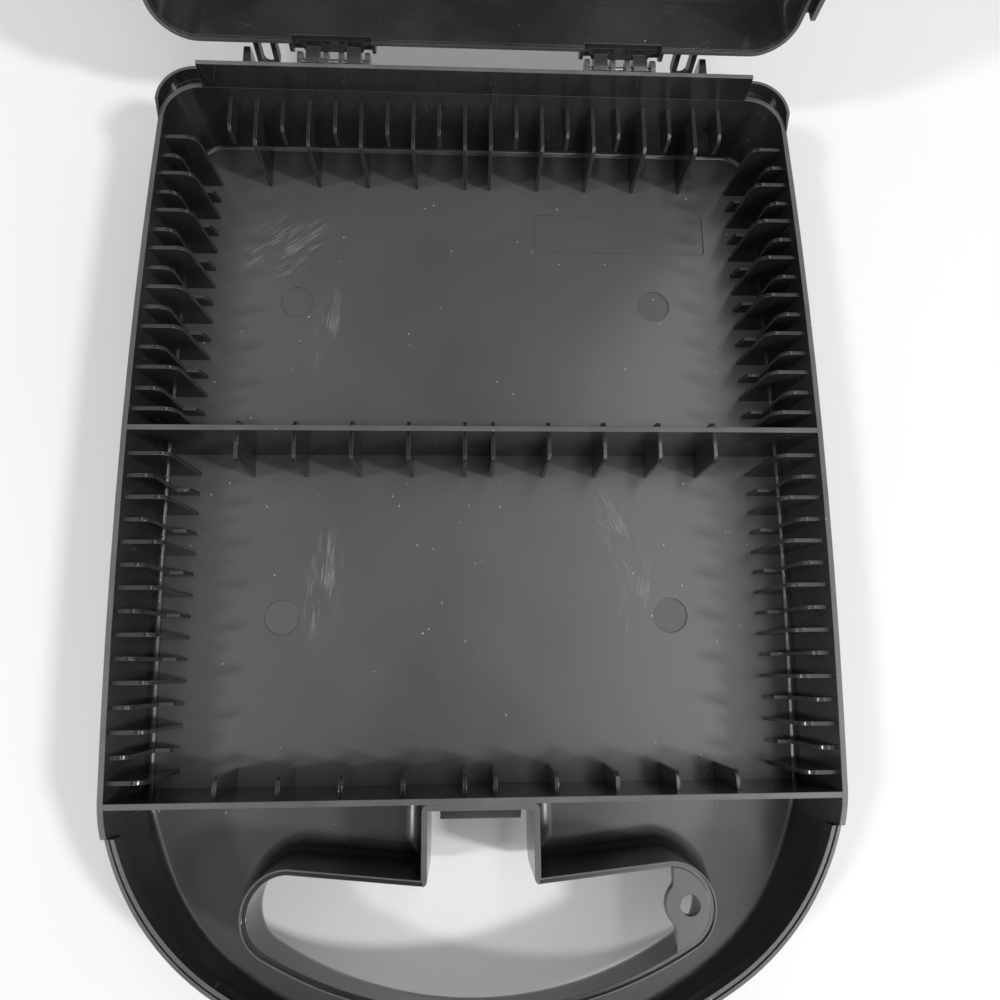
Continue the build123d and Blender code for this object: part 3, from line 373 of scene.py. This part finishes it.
def black_plastic(body, name, wear=0.0):
    """Moulded black plastic of one half: glossy, handled, dusty, pale where it is worn, with
    painted highlights on its rims and edges.
    """
    shader = Shader(name)
    facing = RIM_FACINGS[body]
    clouds = shader.noise(*CLOUDS)
    blotches = shader.noise(*BLOTCHES)
    height = shader.dot(shader.coordinates(), tuple(facing))
    above_rim = shader.math("SUBTRACT", height, HINGE_POINT.dot(facing) * MM)
    towards_rim = shader.dot(shader.coordinate.outputs["Normal"], tuple(facing))
    rounded = shader.node("Bevel", {"Radius": EDGE_RADIUS * MM}, samples=EDGE_SAMPLES).outputs[0]

    def band(edges, to_low=0.0, to_high=1.0):
        start, full = edges
        return shader.ramp(above_rim, start * MM, full * MM, to_low, to_high)

    shader.colour = BLACK_PLASTIC
    shader.roughness = shader.ramp(clouds, *GLOSS_CLOUDS, *PLASTIC_ROUGHNESS)
    shader.add_layer(shader.ramp(clouds, *FILM_CLOUDS), DUSTY_PLASTIC, FILM_COVER)

    textured = shader.times(shader.ramp(towards_rim, *TEXTURE_SLOPE), band(TEXTURE_BAND))
    cloudy = shader.ramp(clouds, *TEXTURE_CLOUDS, *TEXTURE_COVER)
    shader.add_layer(textured, TEXTURED_PLASTIC, cloudy, TEXTURE_ROUGHNESS)

    if wear:
        rubbed = shader.ramp(blotches, *WEAR_BLOTCHES, *WEAR_PATCHES)
        shader.add_layer(rubbed, WORN_AND_HIGHLIT_PLASTIC, wear)

    lines = shader.most(*(scratches(shader, *scratch) for scratch in SCRATCHES))
    scratched = shader.times(lines, shader.ramp(blotches, *SCRATCH_BLOTCHES))
    shader.add_layer(scratched, WORN_AND_HIGHLIT_PLASTIC, SCRATCH_COVER, SCRATCH_ROUGHNESS)

    # Faces turned to the rim at its plane, and the lip's top above it: a painted highlight, mixed
    # with rim wear, paler on the lip
    rim = shader.times(band(RIM_BAND), shader.ramp(towards_rim, *RIM_SLOPE))
    rim_patches = shader.ramp(blotches, *RIM_BLOTCHES, *RIM_PATCHES)
    rim_cover = shader.times(band(LIP_BAND, RIM_COVER, LIP_COVER), rim_patches)
    shader.add_layer(rim, WORN_AND_HIGHLIT_PLASTIC, rim_cover, RIM_ROUGHNESS)

    # Edges: a painted highlight along them, mixed with real wear, laid on in pale grey
    edge_patches = shader.ramp(blotches, *RIM_BLOTCHES, *EDGE_PATCHES)
    edge = shader.times(highlit_and_worn_edges(shader, rounded), band(EDGE_BAND), edge_patches)
    shader.add_layer(edge, WORN_AND_HIGHLIT_PLASTIC, EDGE_COVER)

    if body == "tray":
        # Pale streaks on the floor: scuffs, and a painted sheen where the floor catches the side
        # lights
        streaks = shader.most(*(pale_streaks_and_sheen(shader, *streak) for streak in STREAKS))
        on_floor = shader.times(streaks, band(FLOOR_BAND))
        shader.add_layer(on_floor, PALE_STREAK_AND_SHEEN, STREAK_COVER, STREAK_ROUGHNESS)
        discs = shader.times(ejector_discs(shader), band(FLOOR_BAND))
        shader.add_layer(discs, DUSTY_PLASTIC, EJECTOR_COVER, EJECTOR_ROUGHNESS)

    shader.add_layer(dust_specks(shader), DUST, DUST_COVER, DUST_ROUGHNESS)

    shader.set("Base Color", shader.colour)
    shader.set("Roughness", shader.roughness)
    shader.set("IOR", PLASTIC_IOR)
    skin = shader.bump(shader.noise(*GRAIN), *GRAIN_RELIEF, rounded)
    skin = shader.bump(shader.noise(*RIPPLE), *RIPPLE_RELIEF, skin)
    shader.set("Normal", skin)
    return shader.material


def pin_steel():
    """Drawn steel wire with fine rings around it."""
    shader = Shader("pin_steel")
    rings = shader.noise(1.0, detail=2.0, vector=shader.coordinates(STEEL_RINGS))
    shader.set("Base Color", shader.mix(rings, STEEL, STEEL_DARK))
    shader.set("Metallic", 1.0)
    shader.set("Roughness", shader.ramp(rings, *RING_NOISE, *STEEL_ROUGHNESS))
    shader.set("Normal", shader.bump(rings, *RING_RELIEF))
    return shader.material


def dress_frame():
    """Give every CAD node the material of its slot, made for the body that it belongs to."""
    steel = pin_steel()
    slots = {subpart["node"]: subpart["material_slot"] for subpart in record["subparts"]}
    for body, members in record["behaviour"]["bodies"].items():
        plastic = black_plastic(body, f"black_plastic_{body}")
        rubbed_plastic = black_plastic(body, f"rubbed_plastic_{body}", HINGE_WEAR)
        for member in members:
            piece = nodes[member]
            if slots[member] == "pin_steel":
                finish = steel
            else:
                finish = rubbed_plastic if member in RUBBED_NODES else plastic
            piece.data.materials.clear()
            piece.data.materials.append(finish)
            for face in piece.data.polygons:
                face.material_index = 0


def table_top():
    """The pale table under the case."""
    half = TABLE_HALF_SIZE
    corners = [(-half, -half), (half, -half), (half, half), (-half, half)]
    mesh = bpy.data.meshes.new("table_top")
    mesh.from_pydata([(x, y, TABLE_HEIGHT) for x, y in corners], [], [(0, 1, 2, 3)])
    table = bpy.data.objects.new("table_top", mesh)
    scene.collection.objects.link(table)
    shader = Shader("table_paint")
    shade = shader.ramp(shader.noise(TABLE_SHADE_SCALE), *TABLE_SHADE_NOISE)
    shader.set("Base Color", shader.mix(shade, TABLE, TABLE_SHADE))
    shader.set("Roughness", TABLE_ROUGHNESS)
    shader.set("Normal", shader.bump(shader.noise(TABLE_GRAIN_SCALE), *TABLE_RELIEF))
    mesh.materials.append(shader.material)


def softbox(name, place, size, power):
    """A rectangular lamp that is aimed at the origin."""
    data = bpy.data.lights.new(name, "AREA")
    data.shape = "RECTANGLE"
    data.size, data.size_y = size
    data.energy = power
    lamp = bpy.data.objects.new(name, data)
    place = Vector(place)
    aim = (-place).to_track_quat("-Z", "Y").to_matrix().to_4x4()
    lamp.matrix_world = Matrix.Translation(place) @ aim
    scene.collection.objects.link(lamp)


def bright_strip(tree, sideways, inner, outer, brightness, beyond):
    """One bright strip of the room, dimmer beyond its outer edge."""
    return tree.times(
        tree.ramp(sideways, *inner, 0.0, brightness, smooth=True),
        tree.ramp(sideways, *outer, beyond, 1.0),
    )


def light_studio():
    """A dark room with a bright strip on each side and a dim front, which the camera sees white."""
    world = bpy.data.worlds.new("studio")
    world.use_nodes = True
    scene.world = world
    tree = Nodes(world.node_tree)
    direction = tree.node("TexCoord").outputs["Generated"]
    parts = tree.node("SeparateXYZ", {0: direction})
    height = tree.math("MAXIMUM", parts.outputs["Z"], LOWEST_HEIGHT)
    sideways = tree.math("DIVIDE", parts.outputs["X"], height)
    left = bright_strip(tree, sideways, *LEFT_STRIP)
    right = bright_strip(tree, sideways, *RIGHT_STRIP)
    front = tree.ramp(parts.outputs["Y"], *FRONT_EDGE, *FRONT_BRIGHTNESS)
    bright = tree.math("ADD", tree.math("ADD", left, right), front)
    camera_ray = tree.node("LightPath").outputs["Is Camera Ray"]
    background = world.node_tree.nodes["Background"]
    background.inputs["Color"].default_value = (1.0, 1.0, 1.0, 1.0)
    tree.put(tree.most(bright, camera_ray), background.inputs["Strength"])


place_camera()
dress_frame()
table_top()
light_studio()
for lamp_values in LAMPS:
    softbox(*lamp_values)
scene.view_settings.view_transform = "Standard"
